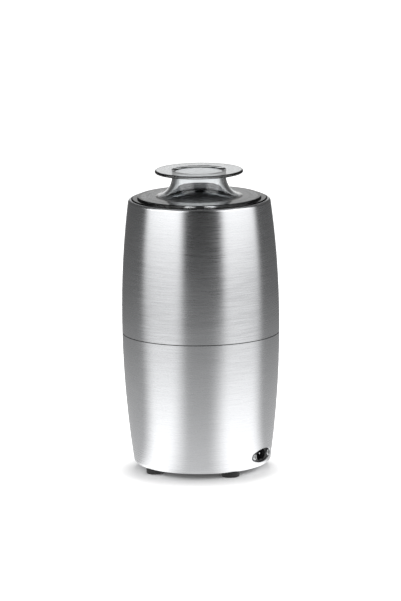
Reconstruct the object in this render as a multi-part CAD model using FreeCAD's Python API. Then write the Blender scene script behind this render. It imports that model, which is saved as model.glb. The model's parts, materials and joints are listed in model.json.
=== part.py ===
import FreeCAD
import Part
import math
import os

os.makedirs("parts", exist_ok=True)

V = FreeCAD.Vector
Z_AXIS = V(0, 0, 1)

# Sizes in millimetres and degrees. The origin is on the floor under the centre of the body,
# +Z is up and the power inlet faces +Y.

# Housing: two steel shells on one curve, widest at the belly
belly_r = 65.0
belly_z = 127.5
lower_curve_r = 850.0
upper_curve_r = 745.0
shell_t = 1.0
base_edge_r = 4.5
base_lip_w = 4.2
seam_z = 114.5
seam_gap = 0.7
seam_recess = 0.4
rim_z = 225.5
rim_edge_r = 2.4
rim_lip_w = 0.2

# General clearances
slide_gap = 0.3
shaft_gap = 0.05
part_gap = 0.2
screw_gap = 0.1

# Feet and base plate
foot_r = 7.5
foot_h = 5.0
foot_edge = 0.5
foot_inset = 3.0
foot_angle = 60.0
foot_count = 4
foot_web = 2.2
base_plate_t = 3.0
vent_count = 18
vent_w = 3.0
vent_inner_r = 13.0
vent_outer_r = 27.0

# Screws
screw_r = 1.5
screw_head_r = 2.8
screw_head_h = 2.0
head_round_share = 0.45
recess_l_share = 0.6
recess_w_share = 0.14
recess_depth_share = 0.5
screw_end_gap = 1.0
foot_screw_bite = 12.0

# Deck frame: joining ring, deck and pillars in one moulding
ring_below = 8.5
ring_above = 8.0
ring_t = 3.0
deck_bottom_z = 118.0
deck_t = 3.0
deck_hole_r = 9.0
pillar_r = 4.5

# Press ring, guide legs, push rod and return springs
press_ring_gap = 0.52
press_ring_proud = 0.8
press_ring_t = 1.6
press_skirt_t = 1.4
press_travel = 2.5
press_stop_gap = 0.4
leg_r = 1.5
leg_tail = 3.2
leg_groove_r = 1.05
leg_angle = 35.0
leg_count = 3
leg_clip_r = 2.4
leg_clip_t = 0.8
spring_wire_r = 0.3
spring_r = 2.05
spring_turns = 5
rod_r = 2.0
rod_angle = 225.0

# Lid: clear disc, hollow flared neck, flange and locating skirt
flange_t = 1.6
flange_overlap = 3.0
flange_edge = 0.5
lid_wall = 2.4
skirt_gap = 0.9
skirt_t = 2.0
skirt_h = 6.0
neck_r = 22.5
flare_r = 36.0
flare_mid_r = 27.0
flare_mid_share = 0.24
knob_r = 36.4
knob_top_z = 249.6
knob_t = 2.6
knob_edge = 1.2
dish_r = 22.5
dish_floor_r = 19.4
dish_depth = 1.6
dish_floor_t = 2.0

# Well that the bowl stands in
well_gap = 0.8
well_wall = 2.0
well_guide_gap = 0.25
well_floor_z = 147.0
well_floor_t = 3.0
well_flange_z = 217.0
well_flange_t = 2.0
well_upstand_t = 1.0
well_hole_r = 16.0
well_boss_r = 4.2
well_boss_offset = 3.2
well_boss_h = 18.0
well_boss_angle = -10.0
well_boss_count = 4
well_screw_bite = 13.0
rod_guide_z = 163.0
rod_guide_h = 6.0
rod_guide_r = 4.2
window_h = 17.0
window_w = 30.0

# Grinding bowl, its base and its bearing bush
bowl_wall = 1.0
bowl_floor_z = 156.0
bowl_rim_clear = 0.8
bowl_rim_w = 2.0
bowl_rim_gap = 0.7
bowl_corner_r = 8.0
bowl_base_inset = 2.5
bowl_base_wall = 3.0
bowl_base_web = 3.0
lug_count = 3
lug_span = 12.0
lug_drop = 2.2
lug_gap_deg = 0.6
bush_flange_r = 9.0
bush_flange_h = 2.0
bush_r = 6.5
bush_length = 8.6
bush_nut_af = 17.0
bush_nut_h = 3.6
seal_r = 6.4
seal_h = 1.4

# Blade and its shaft
blade_shaft_r = 4.0
collar_r = 6.0
collar_h = 2.8
collar_gap = 0.3
blade_tip_gap = 7.5
blade_w = 11.0
blade_t = 1.2
blade_root = 20.0
blade_bend = 13.0
blade_edge = 2.4
washer_r = 7.5
washer_t = 0.9
blade_nut_af = 11.0
blade_nut_h = 4.2
blade_nut_bore_share = 0.8

# Couplings between the motor and the blade
coupling_r = 12.0
coupling_plate = 4.2
coupling_lug_h = 4.4
coupling_lug_root_r = 6.5
coupling_lug_deg = 34.0
coupling_lugs = 4
coupling_gap = 0.5
hub_r = 7.5
hub_h = 7.0

# Motor
shaft_r = 4.0
shaft_bottom_z = 17.0
stack_bottom_z = 60.0
stack_h = 36.0
stator_r = 34.0
stator_yoke = 7.5
air_gap = 0.7
pole_half_deg = 48.0
pole_shoe_t = 3.2
pole_neck_half_w = 9.0
coil_space = 5.1
coil_half_deg = 72.0
coil_overhang = 4.5
slot_count = 12
slot_w = 3.6
slot_depth = 7.0
slot_cover = 1.2
slot_mouth = 2.0
winding_inset = 1.7
winding_overhang = 6.0
commutator_r = 11.0
commutator_h = 10.0
commutator_bars = 12
commutator_slit = 0.6
commutator_slit_depth = 1.5
bell_t = 3.0
bell_wall = 2.0
upper_bell_gap = 10.0
lower_bell_gap = 17.0
bell_window_r = 5.0
bell_window_inset = 11.0
ear_r = 6.5
ear_offset = 4.0
ear_angle = 15.0
ear_count = 4
bearing_r = 11.0
bearing_w = 7.0
bearing_race = 2.0
bearing_seat_wall = 2.5
bearing_seat_lip = 1.8
tie_inset = 4.5
tie_angle = 65.0
tie_r = 1.9
tie_head_r = 3.4
tie_head_h = 2.4
damper_r = 5.5
brush_w = 6.0
brush_h = 5.0
brush_length = 11.0
brush_gap = 0.1
holder_gap = 1.2
holder_wall = 0.8
holder_length = 20.0
brush_spring_r = 2.0
fan_r = 26.0
fan_hub_r = 7.0
fan_plate = 1.5
fan_h = 10.0
fan_blades = 9
fan_blade_t = 1.4
fan_blade_lean = 18.0
fan_gap = 1.5
fan_root = 1.0
fan_clip_r = 6.5
fan_clip_t = 1.0

# Micro switch under the push rod
switch_l = 20.0
switch_w = 6.4
switch_h = 10.2
switch_pivot_y = -9.3
switch_back = 10.9
lever_t = 0.4
lever_w = 4.4
lever_tip = 3.0
lever_rise_deg = 16.0
lever_eye_r = 0.9
lever_pin_r = 0.4
lever_lift = 1.1
rod_tip_gap = 0.15
button_r = 1.0
button_y = -5.2
button_gap = 0.1
button_depth = 2.4
switch_ear_root = 1.0
switch_hole_extra = 1.5
switch_screw_r = 1.1
switch_screw_head_r = 2.0
switch_screw_head_h = 1.4
switch_screw_bite = 4.5
switch_screw_span = 9.5

# Power inlet
inlet_z = 15.3
cutout_half_w = 14.5
cutout_half_h = 5.3
cutout_end_r = 2.9
cutout_bevel = 0.7
nose_recess = 0.4
nose_gap = 0.25
nose_length = 1.8
inlet_flange_t = 2.0
inlet_flange_margin = 1.0
socket_length = 17.3
socket_block_w = 14.0
socket_block_h = 11.6
socket_lobe_r = 4.3
socket_lobe_x = 2.7
socket_depth = 12.0
pin_r = 1.18
pin_spacing = 8.6
pin_length = 9.0
pin_tail = 3.5
inlet_screw_x = 11.3
inlet_screw_r = 1.2
inlet_screw_head_r = 2.6
inlet_screw_head_h = 1.3
inlet_screw_length = 10.0
post_w = 6.4
post_depth = 8.0

# Circuit board, capacitor and thermal cut-out
board_angle = 195.0
board_inset = 14.9
board_t = 1.6
board_w = 30.0
board_bottom_z = 76.0
board_top_z = 114.0
rail_t = 2.0
rail_depth = 5.0
capacitor_w = 24.0
capacitor_d = 9.0
capacitor_h = 16.0
capacitor_z = 86.0
cutout_r = 2.6
cutout_l = 14.0
cutout_z = 96.0

# Insulated leads
lead_r = 1.0
lead_bend_share = 0.45
lead_gate_offset = 3.5
lead_gate_deg = 10.0
lead_gate_hole_r = 3.2


def save(name, shape):
    """Write one node, either a single solid or a group of separate solids."""
    if isinstance(shape, list):
        shape = Part.makeCompound(shape)
    shape.exportStep("parts/" + name + ".step")
    return shape


def cylinder(radius, z0, z1, x=0.0, y=0.0):
    return Part.makeCylinder(radius, z1 - z0, V(x, y, z0))


def tube(outer, inner, z0, z1, x=0.0, y=0.0):
    return cylinder(outer, z0, z1, x, y).cut(cylinder(inner, z0, z1, x, y))


def rod_along_y(radius, y0, y1, x, z):
    return Part.makeCylinder(radius, y1 - y0, V(x, y0, z), V(0, 1, 0))


def block(x0, x1, y0, y1, z0, z1):
    return Part.makeBox(x1 - x0, y1 - y0, z1 - z0, V(x0, y0, z0))


def hexagon(across_flats, z0, z1):
    corner = across_flats / math.sqrt(3.0)
    points = []
    for step in range(7):
        turn = math.radians(60.0 * step)
        points.append(V(corner * math.cos(turn), corner * math.sin(turn), z0))
    return Part.Face(Part.makePolygon(points)).extrude(V(0, 0, z1 - z0))


def turned(shape, angle):
    """A copy of a shape turned about the vertical axis."""
    copy = shape.copy()
    copy.rotate(V(0, 0, 0), Z_AXIS, angle)
    return copy


def ring_of(shape, count, first):
    """Copies of a shape spaced evenly about the vertical axis."""
    return [turned(shape, first + step * 360.0 / count) for step in range(count)]


def fuse_all(first, others):
    result = first
    for other in others:
        result = result.fuse(other)
    return result.removeSplitter()


def cut_all(first, others):
    result = first
    for other in others:
        result = result.cut(other)
    return result


def revolve(start, steps):
    """Turn a closed outline of (radius, height) points round the vertical axis.
    A step is a point for a line, or a pair of points, middle and end, for an arc."""
    edges = []
    here = start
    for step in steps + [start]:
        if isinstance(step[0], tuple):
            middle, end = step
            points = [V(p[0], 0, p[1]) for p in (here, middle, end)]
            edges.append(Part.Arc(points[0], points[1], points[2]).toShape())
        else:
            end = step
            if math.dist(here, end) > 1e-6:
                edges.append(Part.LineSegment(V(here[0], 0, here[1]), V(end[0], 0, end[1])).toShape())
        here = end
    face = Part.Face(Part.Wire(edges))
    return face.revolve(V(0, 0, 0), Z_AXIS, 360.0)


def sector(outer, inner, z0, z1, half_deg, middle_deg=0.0):
    """A ring segment spanning half_deg to each side of middle_deg."""
    start = math.radians(-half_deg)
    end = math.radians(half_deg)
    corners = []
    for radius in (inner, outer):
        for turn in (start, 0.0, end):
            corners.append(V(radius * math.cos(turn), radius * math.sin(turn), z0))
    inner_arc = Part.Arc(corners[0], corners[1], corners[2]).toShape()
    outer_arc = Part.Arc(corners[3], corners[4], corners[5]).toShape()
    side_a = Part.LineSegment(corners[2], corners[5]).toShape()
    side_b = Part.LineSegment(corners[3], corners[0]).toShape()
    face = Part.Face(Part.Wire([inner_arc, side_a, outer_arc, side_b]))
    return turned(face.extrude(V(0, 0, z1 - z0)), middle_deg)


def housing_r(z, inset=0.0):
    """Radius of the housing's curve at a height, moved in square to the curve by inset."""
    curve = lower_curve_r if z < belly_z else upper_curve_r
    return belly_r - curve + math.sqrt((curve - inset) ** 2 - (z - belly_z) ** 2)


def side_arc(z0, z1, inset):
    """The middle and end point of the housing's curve from one height to another."""
    middle = (z0 + z1) / 2
    return ((housing_r(middle, inset), middle), (housing_r(z1, inset), z1))


def edge_round(curve, edge_r, flat_z, upward):
    """Centre of the round that joins a side curve to a flat, and the direction to the side."""
    centre_z = flat_z - edge_r if upward else flat_z + edge_r
    centre_r = housing_r(centre_z, edge_r)
    side = V(centre_r - (belly_r - curve), 0, centre_z - belly_z)
    side.normalize()
    return V(centre_r, 0, centre_z), side


def round_points(centre, side, radius, upward):
    """Where a round of this radius leaves the side, its middle, and where it meets the flat."""
    flat = V(0, 0, 1) if upward else V(0, 0, -1)
    half = side + flat
    half.normalize()
    points = []
    for direction in (side, half, flat):
        spot = centre + direction * radius
        points.append((spot.x, spot.z))
    return points


# Places worked out from the sizes
base_z = foot_h
base_plate_top = base_z + shell_t + base_plate_t
seam_bottom = seam_z - seam_gap / 2
seam_top = seam_z + seam_gap / 2
deck_z = deck_bottom_z + deck_t
lip_under_z = rim_z - shell_t
stack_top_z = stack_bottom_z + stack_h
stator_bore_r = stator_r - stator_yoke - coil_space - pole_shoe_t
armature_r = stator_bore_r - air_gap
winding_r = armature_r - winding_inset
tie_ring_r = stator_r - tie_inset
ear_ring_r = stator_r + ear_offset
bell_window_ring_r = stator_r - bell_window_inset
upper_bell_z = stack_top_z + upper_bell_gap
upper_bell_top = upper_bell_z + bell_t
lower_bell_z = stack_bottom_z - lower_bell_gap
lower_bell_bottom = lower_bell_z - bell_t
bowl_base_z = well_floor_z
bowl_inside_z = bowl_floor_z + bowl_wall
bush_top = bowl_inside_z + bush_flange_h
collar_z = bush_top + seal_h + collar_gap
blade_z = collar_z + collar_h
blade_coupling_top = bush_top - bush_flange_h - bush_length - coupling_gap
blade_coupling_z = blade_coupling_top - coupling_plate
drive_top = blade_coupling_z - coupling_gap
drive_plate_top = drive_top - coupling_lug_h
drive_plate_z = drive_plate_top - coupling_plate
switch_top = deck_z + switch_h
pivot_z = switch_top + lever_lift
flange_z = rim_z + press_ring_proud
press_under_z = flange_z - press_ring_t
press_skirt_z = well_flange_z + press_travel + press_stop_gap
clip_z = well_flange_z - well_flange_t - leg_clip_t
bowl_rim_z = flange_z - press_travel - bowl_rim_clear

# Radii from the housing inwards: the upstand, the press ring, its springs, the well and the bowl
rim_round_r = edge_round(upper_curve_r, rim_edge_r, rim_z, True)[0].x
press_ring_r = rim_round_r - well_upstand_t - press_ring_gap
leg_ring_r = press_ring_r - press_skirt_t - slide_gap - spring_wire_r - spring_r
well_outer_r = leg_ring_r - rod_r - slide_gap - well_guide_gap
well_inner_r = well_outer_r - well_wall
well_boss_ring_r = well_outer_r + well_boss_offset
bowl_r = well_inner_r - well_gap
bowl_rim_r = bowl_r + bowl_rim_w
press_ring_bore_r = bowl_rim_r + bowl_rim_gap
bowl_base_r = bowl_r - bowl_base_inset
blade_r = bowl_r - bowl_wall - blade_tip_gap
flange_r = press_ring_bore_r + flange_overlap
skirt_r = bowl_r - bowl_wall - skirt_gap
base_round_r = edge_round(lower_curve_r, base_edge_r, base_z, False)[0].x
base_opening_r = base_round_r - base_lip_w
foot_ring_r = base_opening_r - foot_inset
board_r = housing_r(seam_z) - board_inset
lead_gate_r = board_r + lead_gate_offset
nose_y = math.sqrt(housing_r(inlet_z) ** 2 - cutout_half_w ** 2) - nose_recess
inlet_flange_y = nose_y - nose_length
socket_back_y = nose_y - socket_length


def lower_shell():
    centre, side = edge_round(lower_curve_r, base_edge_r, base_z, False)
    outside = round_points(centre, side, base_edge_r, False)
    inside = round_points(centre, side, base_edge_r - shell_t, False)
    start = (housing_r(seam_bottom), seam_bottom)
    shell = revolve(start, [
        side_arc(seam_bottom, outside[0][1], 0.0),
        (outside[1], outside[2]),
        (base_opening_r, base_z),
        (base_opening_r, base_z + shell_t),
        inside[2],
        (inside[1], inside[0]),
        side_arc(inside[0][1], seam_bottom, shell_t),
    ])
    cutter = lens(0.0).extrude(V(0, belly_r, 0))
    shell = shell.cut(cutter)
    return shell.makeChamfer(cutout_bevel, cutout_edges(shell))


def cutout_edges(shell):
    """The outer edges of the inlet's cut-out, which are bevelled."""
    found = []
    for edge in shell.Edges:
        middle = edge.valueAt((edge.FirstParameter + edge.LastParameter) / 2)
        near = abs(middle.x) < cutout_half_w + 0.1 and abs(middle.z - inlet_z) < cutout_half_h + 0.1
        radius = math.hypot(middle.x, middle.y)
        outside = abs(radius - housing_r(middle.z)) < 0.01
        if near and outside and middle.y > 0 and edge.Length < 3 * cutout_half_w:
            found.append(edge)
    return found


def lens(grow):
    """Face of the inlet's lens-shaped outline on the plane y = 0, grown by a margin."""
    half_w = cutout_half_w + grow
    half_h = cutout_half_h + grow
    end_r = cutout_end_r + grow
    end_x = half_w - end_r
    side_r = (end_x ** 2 + half_h ** 2 - end_r ** 2) / (2 * (half_h - end_r))
    reach = side_r / (side_r - end_r)
    join_x = end_x * reach
    join_z = half_h - side_r + (side_r - half_h) * reach
    top = V(0, 0, inlet_z + half_h)
    low = V(0, 0, inlet_z - half_h)
    corners = {}
    for side in (-1, 1):
        corners[side, 1] = V(side * join_x, 0, inlet_z + join_z)
        corners[side, -1] = V(side * join_x, 0, inlet_z - join_z)
    arcs = [
        Part.Arc(corners[-1, 1], top, corners[1, 1]),
        Part.Arc(corners[1, 1], V(half_w, 0, inlet_z), corners[1, -1]),
        Part.Arc(corners[1, -1], low, corners[-1, -1]),
        Part.Arc(corners[-1, -1], V(-half_w, 0, inlet_z), corners[-1, 1]),
    ]
    return Part.Face(Part.Wire([arc.toShape() for arc in arcs]))


def upper_shell():
    centre, side = edge_round(upper_curve_r, rim_edge_r, rim_z, True)
    outside = round_points(centre, side, rim_edge_r, True)
    inside = round_points(centre, side, rim_edge_r - shell_t, True)
    lip_r = centre.x - rim_lip_w
    start = (housing_r(seam_top), seam_top)
    return revolve(start, [
        side_arc(seam_top, belly_z, 0.0),
        side_arc(belly_z, outside[0][1], 0.0),
        (outside[1], outside[2]),
        (lip_r, rim_z),
        (lip_r, lip_under_z),
        inside[2],
        (inside[1], inside[0]),
        side_arc(inside[0][1], belly_z, shell_t),
        side_arc(belly_z, seam_top, shell_t),
    ])


def screw(length, radius, head_r, head_h):
    """A pan-head screw with its head's seat at z = 0, shank down, and a cross recess."""
    shank = cylinder(radius, -length, 0.0)
    head = cylinder(head_r, 0.0, head_h)
    rim = [edge for edge in head.Edges if abs(edge.BoundBox.ZMin - head_h) < 1e-6]
    head = head.makeFillet(head_h * head_round_share, rim)
    slot_l = head_r * recess_l_share
    slot_w = head_r * recess_w_share
    slot_z = head_h * (1 - recess_depth_share)
    for arms in ((slot_l, slot_w), (slot_w, slot_l)):
        head = head.cut(block(-arms[0], arms[0], -arms[1], arms[1], slot_z, head_h))
    return shank.fuse(head)


def placed(shape, x, y, z):
    copy = shape.copy()
    copy.translate(V(x, y, z))
    return copy


def upside_down(shape):
    copy = shape.copy()
    copy.rotate(V(0, 0, 0), V(1, 0, 0), 180.0)
    return copy


def deck_frame():
    low = seam_z - ring_below
    high = seam_z + ring_above
    inset = shell_t + part_gap
    start = (housing_r(low, inset), low)
    ring = revolve(start, [
        side_arc(low, seam_bottom, inset),
        (housing_r(seam_z) - seam_recess, seam_bottom),
        (housing_r(seam_z) - seam_recess, seam_top),
        (housing_r(seam_top, inset), seam_top),
        side_arc(seam_top, high, inset),
        (housing_r(low, inset) - ring_t, high),
        (housing_r(low, inset) - ring_t, low),
    ])
    deck = cylinder(housing_r(low, inset) - ring_t / 2, deck_bottom_z, deck_z)
    pillar = cylinder(pillar_r, base_plate_top, deck_bottom_z + deck_t / 2, foot_ring_r)
    frame = fuse_all(ring, [deck] + ring_of(pillar, foot_count, foot_angle) + board_rails())
    pilot_top = base_plate_top + foot_screw_bite + screw_end_gap
    pilot = cylinder(screw_r + screw_gap, base_plate_top, pilot_top, foot_ring_r)
    motor_hole = cylinder(tie_r + screw_gap, deck_bottom_z, deck_z, ear_ring_r)
    well_hole = cylinder(screw_r + screw_gap, deck_bottom_z, deck_z, well_boss_ring_r)
    lead_hole = turned(cylinder(lead_gate_hole_r, deck_bottom_z, deck_z, lead_gate_r), board_angle + lead_gate_deg)
    cuts = [cylinder(deck_hole_r, deck_bottom_z, deck_z), lead_hole]
    cuts += ring_of(pilot, foot_count, foot_angle)
    cuts += ring_of(motor_hole, ear_count, ear_angle)
    cuts += ring_of(well_hole, well_boss_count, well_boss_angle)
    for y in switch_screw_places():
        cuts.append(at_switch(cylinder(switch_screw_r + screw_gap, deck_bottom_z, deck_z, 0.0, y)))
    return cut_all(frame, cuts)


def board_rails():
    """Two grooved posts under the deck that hold the circuit board by its upright edges."""
    rails = []
    for side in (-1, 1):
        edge_y = side * board_w / 2
        outer_y = side * (board_w / 2 + rail_t)
        inner_y = side * (board_w / 2 - rail_t)
        y0, y1 = sorted((outer_y, inner_y))
        rail = block(board_r - rail_depth / 2, board_r + rail_depth / 2, y0, y1, board_bottom_z, deck_bottom_z)
        g0, g1 = sorted((edge_y, inner_y))
        groove = block(board_r - board_t / 2, board_r + board_t / 2, g0, g1, board_bottom_z, board_top_z)
        rails.append(turned(rail.cut(groove), board_angle))
    return rails


def base_plate():
    plate = cylinder(base_round_r, base_z + shell_t, base_plate_top)
    boss = cylinder(base_opening_r - part_gap, base_z, base_z + shell_t)
    posts = []
    post_y1 = inlet_flange_y - inlet_flange_t
    for side in (-1, 1):
        x = side * inlet_screw_x
        post = block(x - post_w / 2, x + post_w / 2, post_y1 - post_depth, post_y1,
                     base_plate_top, inlet_z + post_w / 2)
        posts.append(post)
    plate = fuse_all(plate, [boss] + posts)
    slot = block(vent_inner_r, vent_outer_r, -vent_w / 2, vent_w / 2, base_z, base_plate_top)
    foot_hole = cylinder(screw_r + screw_gap, base_z, base_plate_top, foot_ring_r)
    cuts = ring_of(slot, vent_count, 0.0) + ring_of(foot_hole, foot_count, foot_angle)
    for side in (-1, 1):
        cuts.append(rod_along_y(inlet_screw_r + screw_gap, 0.0, belly_r, side * inlet_screw_x, inlet_z))
    return cut_all(plate, cuts)


def feet():
    foot = cylinder(foot_r, 0.0, foot_h)
    rims = [edge for edge in foot.Edges if edge.Length > 6 * foot_r and edge.Length < 6.5 * foot_r]
    foot = foot.makeChamfer(foot_edge, rims)
    foot = foot.cut(cylinder(screw_head_r + part_gap, 0.0, foot_h - foot_web))
    foot = foot.cut(cylinder(screw_r + screw_gap, 0.0, foot_h))
    return ring_of(placed(foot, foot_ring_r, 0.0, 0.0), foot_count, foot_angle)


def foot_screws():
    length = foot_web + base_plate_top - base_z + foot_screw_bite
    one = upside_down(screw(length, screw_r, screw_head_r, screw_head_h))
    one = placed(one, foot_ring_r, 0.0, foot_h - foot_web)
    return ring_of(one, foot_count, foot_angle)


def inlet_housing():
    nose = placed(lens(-nose_gap).extrude(V(0, nose_y - inlet_flange_y, 0)), 0, inlet_flange_y, 0)
    flange = lens(inlet_flange_margin).extrude(V(0, inlet_flange_t, 0))
    flange = placed(flange, 0, inlet_flange_y - inlet_flange_t, 0)
    body = block(-socket_block_w / 2, socket_block_w / 2, socket_back_y, inlet_flange_y,
                 inlet_z - socket_block_h / 2, inlet_z + socket_block_h / 2)
    housing = fuse_all(nose, [flange, body])
    cuts = []
    for side in (-1, 1):
        lobe = rod_along_y(socket_lobe_r, nose_y - socket_depth, nose_y, side * socket_lobe_x, inlet_z)
        pin = rod_along_y(pin_r, socket_back_y, nose_y, side * pin_spacing / 2, inlet_z)
        hole = rod_along_y(inlet_screw_r + screw_gap, inlet_flange_y - inlet_flange_t, nose_y,
                           side * inlet_screw_x, inlet_z)
        cuts += [lobe, pin, hole]
    return cut_all(housing, cuts)


def inlet_pins():
    pins = []
    floor_y = nose_y - socket_depth
    for side in (-1, 1):
        x = side * pin_spacing / 2
        pin = rod_along_y(pin_r, socket_back_y - pin_tail, floor_y + pin_length, x, inlet_z)
        tips = [edge for edge in pin.Edges if abs(edge.BoundBox.YMin - floor_y - pin_length) < 1e-6]
        pins.append(pin.makeFillet(pin_r * 0.6, tips))
    return pins


def inlet_screws():
    screws = []
    one = screw(inlet_screw_length, inlet_screw_r, inlet_screw_head_r, inlet_screw_head_h)
    one.rotate(V(0, 0, 0), V(1, 0, 0), -90.0)
    for side in (-1, 1):
        screws.append(placed(one, side * inlet_screw_x, nose_y, inlet_z))
    return screws


def bowl_well():
    flange_bottom = well_flange_z - well_flange_t
    flange_r = housing_r(well_flange_z, shell_t + part_gap)
    well = revolve((well_hole_r, well_floor_z - well_floor_t), [
        (well_inner_r, well_floor_z - well_floor_t),
        (well_inner_r, deck_z),
        (well_outer_r, deck_z),
        (well_outer_r, flange_bottom),
        (flange_r, flange_bottom),
        (flange_r, well_flange_z),
        (rim_round_r, well_flange_z),
        (rim_round_r, lip_under_z),
        (rim_round_r - well_upstand_t, lip_under_z),
        (rim_round_r - well_upstand_t, well_flange_z),
        (well_inner_r, well_flange_z),
        (well_inner_r, well_floor_z),
        (well_hole_r, well_floor_z),
    ])
    boss = cylinder(well_boss_r, deck_z, deck_z + well_boss_h, well_boss_ring_r)
    boss = boss.cut(cylinder(well_inner_r, deck_z, deck_z + well_boss_h))
    guide = cylinder(rod_guide_r, rod_guide_z, rod_guide_z + rod_guide_h, leg_ring_r)
    guide = turned(guide.cut(cylinder(well_inner_r, rod_guide_z, rod_guide_z + rod_guide_h)), rod_angle)
    well = fuse_all(well, ring_of(boss, well_boss_count, well_boss_angle) + [guide])
    pilot_top = deck_z + well_screw_bite + screw_end_gap
    pilot = cylinder(screw_r + screw_gap, deck_z, pilot_top, well_boss_ring_r)
    window = block(well_inner_r - well_wall, well_outer_r + well_wall, -window_w / 2, window_w / 2,
                   deck_z, deck_z + window_h)
    leg_hole = cylinder(leg_r + slide_gap, flange_bottom, well_flange_z, leg_ring_r)
    rod_hole = cylinder(rod_r + slide_gap, rod_guide_z, well_flange_z, leg_ring_r)
    notch = sector(well_outer_r, bowl_base_r - bowl_base_wall - slide_gap, well_floor_z - well_floor_t,
                   well_floor_z, lug_span / 2 + lug_gap_deg)
    notch = notch.common(cylinder(bowl_base_r + slide_gap, 0.0, well_floor_z))
    cuts = ring_of(pilot, well_boss_count, well_boss_angle)
    cuts += ring_of(window, 4, rod_angle)
    cuts += ring_of(leg_hole, leg_count, leg_angle)
    cuts += ring_of(notch, lug_count, leg_angle)
    cuts.append(turned(rod_hole, rod_angle))
    return cut_all(well, cuts)


def well_screws():
    one = upside_down(screw(deck_t + well_screw_bite, screw_r, screw_head_r, screw_head_h))
    one = placed(one, well_boss_ring_r, 0.0, deck_bottom_z)
    return ring_of(one, well_boss_count, well_boss_angle)


def press_ring():
    ring = revolve((press_ring_bore_r, press_under_z), [
        (press_ring_r - press_skirt_t, press_under_z),
        (press_ring_r - press_skirt_t, press_skirt_z),
        (press_ring_r, press_skirt_z),
        (press_ring_r, flange_z),
        (press_ring_bore_r, flange_z),
    ])
    leg = cylinder(leg_r, clip_z - leg_tail, press_under_z, leg_ring_r)
    groove = tube(2 * leg_r, leg_groove_r, clip_z, clip_z + leg_clip_t, leg_ring_r)
    leg = leg.cut(groove)
    return fuse_all(ring, ring_of(leg, leg_count, leg_angle))


def leg_clips():
    clip = tube(leg_clip_r, leg_groove_r, clip_z, clip_z + leg_clip_t, leg_ring_r)
    mouth = block(leg_ring_r - leg_r / 2, leg_ring_r + leg_r / 2, 0.0, 2 * leg_clip_r,
                  clip_z, clip_z + leg_clip_t)
    return ring_of(clip.cut(mouth), leg_count, leg_angle)


def coil_spring(coil_r, wire_r, length, turns):
    """A helical spring from z = 0 to its length, with its ends cut flat."""
    pitch = (length + wire_r) / turns
    helix = Part.makeHelix(pitch, pitch * turns, coil_r)
    section = Part.Wire(Part.makeCircle(wire_r, V(coil_r, 0, 0), V(0, 1, 0)))
    spring = Part.Wire(helix.Edges).makePipeShell([section], True, True)
    spring.translate(V(0, 0, -wire_r / 2))
    return spring.common(cylinder(coil_r + 2 * wire_r, 0.0, length))


def return_springs():
    length = press_under_z - well_flange_z
    spring = coil_spring(spring_r, spring_wire_r, length, spring_turns)
    return ring_of(placed(spring, leg_ring_r, 0.0, well_flange_z), leg_count, leg_angle)


def push_rod():
    tip = V(leg_ring_r, 0, rod_tip_z() + rod_r)
    rod = cylinder(rod_r, tip.z, press_under_z, leg_ring_r).fuse(Part.makeSphere(rod_r, tip))
    return turned(rod.removeSplitter(), rod_angle)


def at_switch(shape):
    """Move a shape from the switch's frame, x outward and y round the axis, to its place."""
    return turned(placed(shape, leg_ring_r, 0.0, 0.0), rod_angle)


def switch_screw_places():
    middle = switch_l / 2 - switch_back
    return [middle - switch_screw_span / 2, middle + switch_screw_span / 2]


def raised_lever(shape):
    """Turn a lever shape that is built level up to its angle at rest."""
    shape.rotate(V(0, switch_pivot_y, pivot_z), V(1, 0, 0), lever_rise_deg)
    return shape


def rod_tip_z():
    """The lever's top face under the rod's middle, plus the gap to the rod's tip."""
    turn = math.radians(lever_rise_deg)
    return pivot_z - switch_pivot_y * math.tan(turn) + lever_t / 2 / math.cos(turn) + rod_tip_gap


def micro_switch():
    y0 = -switch_back
    y1 = y0 + switch_l
    body = block(-switch_w / 2, switch_w / 2, y0, y1, deck_z, switch_top)
    ears = []
    for side in (-1, 1):
        x0, x1 = sorted((side * (lever_w / 2 + part_gap), side * switch_w / 2))
        ears.append(block(x0, x1, switch_pivot_y - lever_eye_r, switch_pivot_y + lever_eye_r,
                          switch_top - switch_ear_root, pivot_z + lever_eye_r))
    pin = Part.makeCylinder(lever_pin_r, switch_w, V(-switch_w / 2, switch_pivot_y, pivot_z), V(1, 0, 0))
    body = fuse_all(body, ears + [pin])
    hole_z = switch_top - button_depth - switch_hole_extra
    hole = cylinder(button_r + part_gap, hole_z, switch_top, 0.0, button_y)
    body = body.cut(hole)
    for y in switch_screw_places():
        hole_top = deck_z + switch_screw_bite + screw_end_gap
        body = body.cut(cylinder(switch_screw_r + screw_gap, deck_z, hole_top, 0.0, y))
    return at_switch(body)


def switch_screws():
    length = deck_t + switch_screw_bite
    one = upside_down(screw(length, switch_screw_r, switch_screw_head_r, switch_screw_head_h))
    return [at_switch(placed(one, 0.0, y, deck_bottom_z)) for y in switch_screw_places()]


def switch_lever():
    width = lever_w / 2
    plate = block(-width, width, switch_pivot_y + lever_eye_r * 0.6, lever_tip, pivot_z - lever_t / 2,
                  pivot_z + lever_t / 2)
    eye = Part.makeCylinder(lever_eye_r, lever_w, V(-width, switch_pivot_y, pivot_z), V(1, 0, 0))
    bore = Part.makeCylinder(lever_pin_r + shaft_gap, lever_w, V(-width, switch_pivot_y, pivot_z), V(1, 0, 0))
    return at_switch(raised_lever(fuse_all(plate, [eye]).cut(bore)))


def switch_button():
    turn = math.radians(lever_rise_deg)
    arm = button_y - button_r - switch_pivot_y
    under = pivot_z + arm * math.tan(turn) - lever_t / 2 / math.cos(turn) - button_gap
    return at_switch(cylinder(button_r, switch_top - button_depth, under, 0.0, button_y))


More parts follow.
